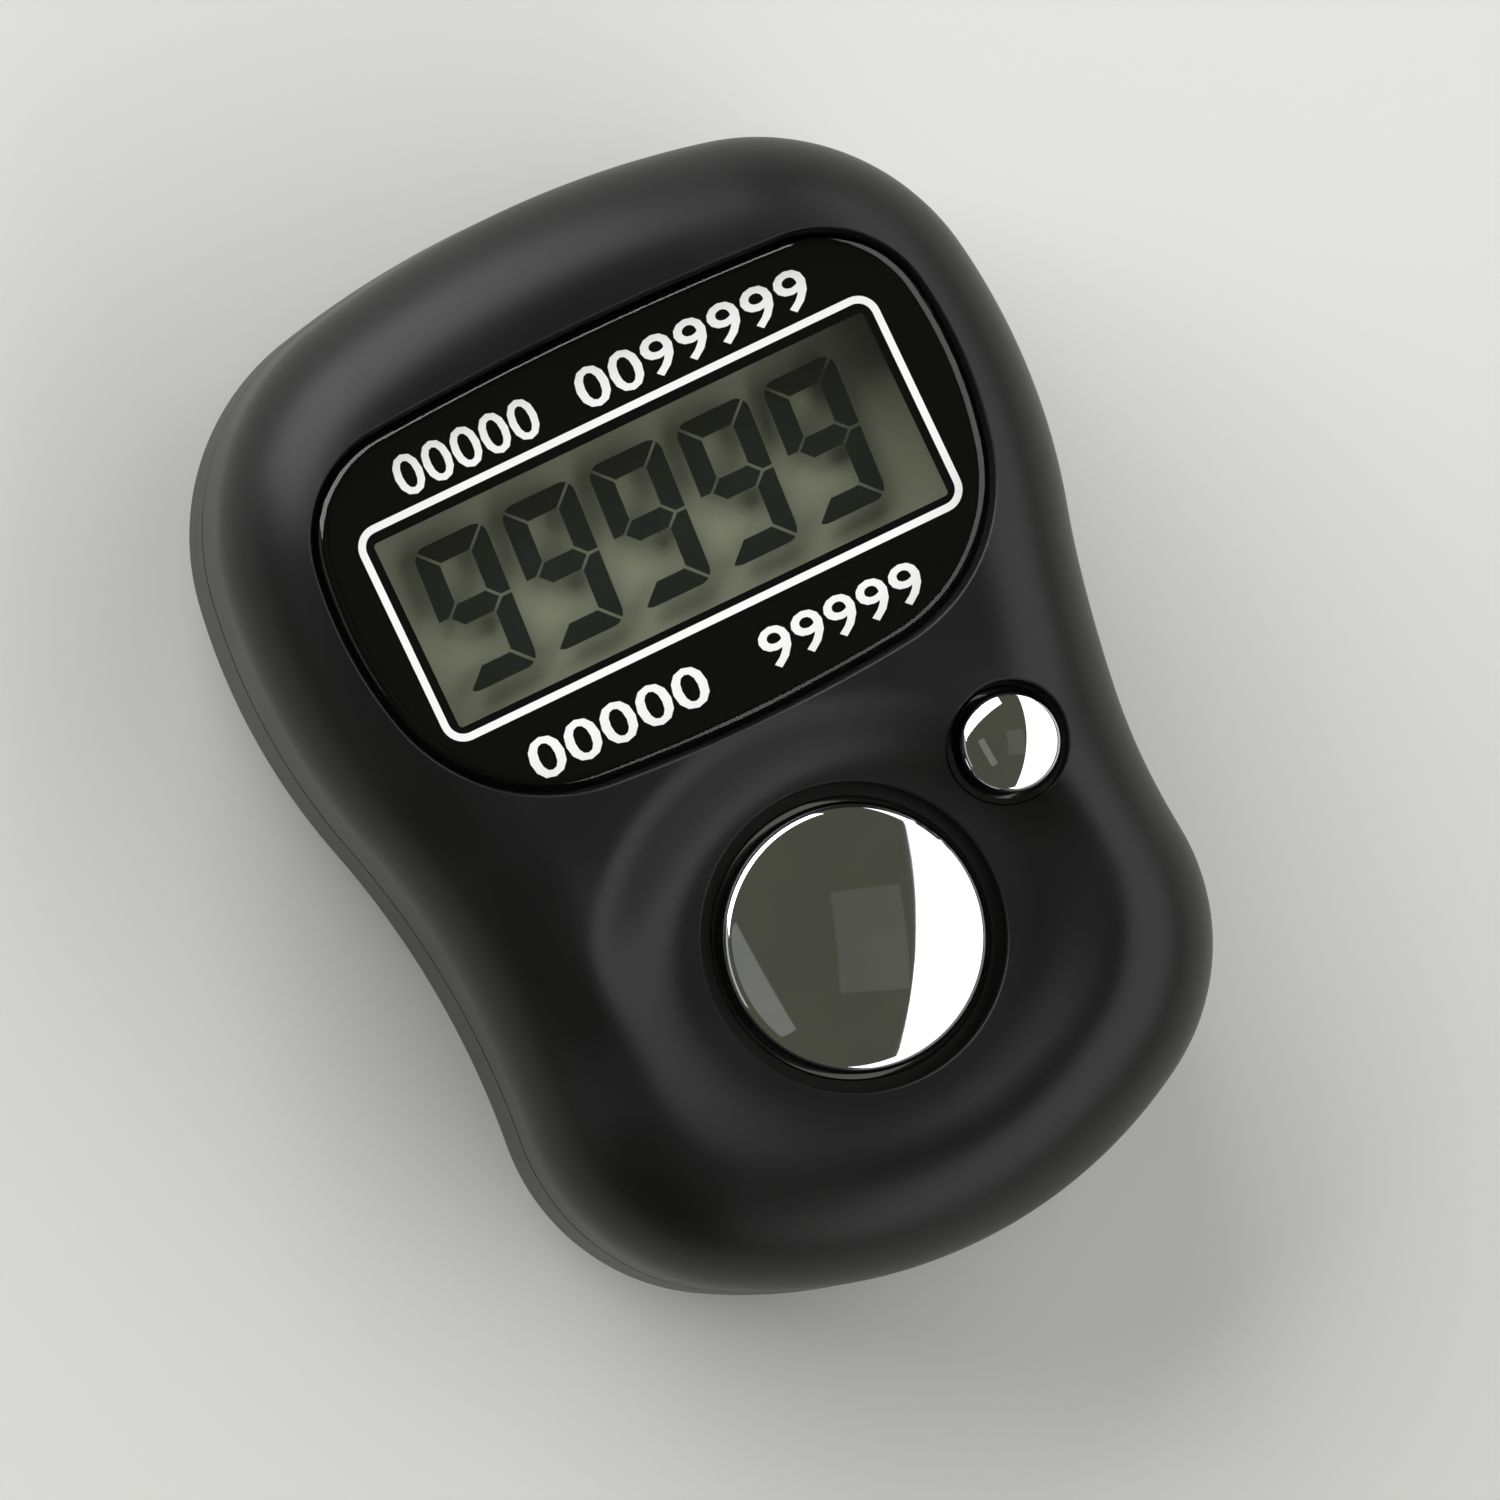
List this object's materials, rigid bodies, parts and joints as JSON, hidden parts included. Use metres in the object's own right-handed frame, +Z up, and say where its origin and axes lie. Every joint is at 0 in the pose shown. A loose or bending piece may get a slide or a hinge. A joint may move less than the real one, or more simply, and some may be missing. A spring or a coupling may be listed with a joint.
{
  "type": "hand tally counter",
  "caption": "Pocket digital tally counter with an hourglass case, a recessed five-digit display, a large count button and a small reset button.",
  "frame": {"origin": "centre of the counter's outline, on the flat back that it rests on", "axes": "+Z up out of the display, +Y along the case towards the display's top, +X to the right as the display is read"},
  "size_m": [0.0296, 0.04, 0.014],
  "materials": {
    "black_abs": "satin moulded",
    "lens_acrylic": "polished, printed black behind a clear window",
    "adhesive_foam": "matt tape",
    "polariser_film": "smooth film",
    "display_glass": "clear",
    "lcd_ink": "dark liquid crystal",
    "reflector_film": "grey green",
    "white_plastic": "moulded",
    "connector_rubber": "pink silicone with carbon layers",
    "board_laminate": "green solder mask",
    "black_epoxy": "glob top",
    "tan_ceramic": "sintered",
    "black_ceramic": "glazed",
    "chrome_plate": "mirror plated",
    "silicone": "translucent",
    "cell_steel": "stamped",
    "contact_nickel": "nickel plated",
    "screw_zinc": "zinc plated"
  },
  "bodies": {
    "case": {"front_shell": "black_abs", "rear_shell": "black_abs", "display_lens": "lens_acrylic", "lens_adhesive": "adhesive_foam", "lcd_front_polariser": "polariser_film", "lcd_front_glass": "display_glass", "lcd_segments": "lcd_ink", "lcd_rear_glass": "display_glass", "lcd_reflector": "reflector_film", "lcd_holder": "white_plastic", "zebra_strip": "connector_rubber", "circuit_board": "board_laminate", "chip_blob": "black_epoxy", "chip_capacitors": "tan_ceramic", "chip_resistors": "black_ceramic", "count_switch_pad": "silicone", "reset_switch_pad": "silicone", "battery_cell": "cell_steel", "battery_positive_clip": "contact_nickel", "battery_negative_spring": "contact_nickel", "case_screws": "screw_zinc", "board_screws": "screw_zinc"},
    "count_key": {"count_button": "chrome_plate"},
    "reset_key": {"reset_button": "chrome_plate"},
    "cell_cap": {"battery_cap": "black_abs"}
  },
  "joints": [
    {"name": "count_press", "type": "slide", "parent": "case", "child": "count_key", "axis": [0, 0, -1], "range_m": [0, 0.0007], "stiffness_N_per_m": 1500, "springref_m": -0.0004, "deforming": ["count_switch_pad"]},
    {"name": "reset_press", "type": "slide", "parent": "case", "child": "reset_key", "axis": [0, 0, -1], "range_m": [0, 0.0005], "stiffness_N_per_m": 1500, "springref_m": -0.0004, "deforming": ["reset_switch_pad"]},
    {"name": "cap_turn", "type": "hinge", "parent": "case", "child": "cell_cap", "pos_m": [0, -0.0015, 0], "axis": [0, 0, -1], "range_deg": [0, 40]}
  ]
}
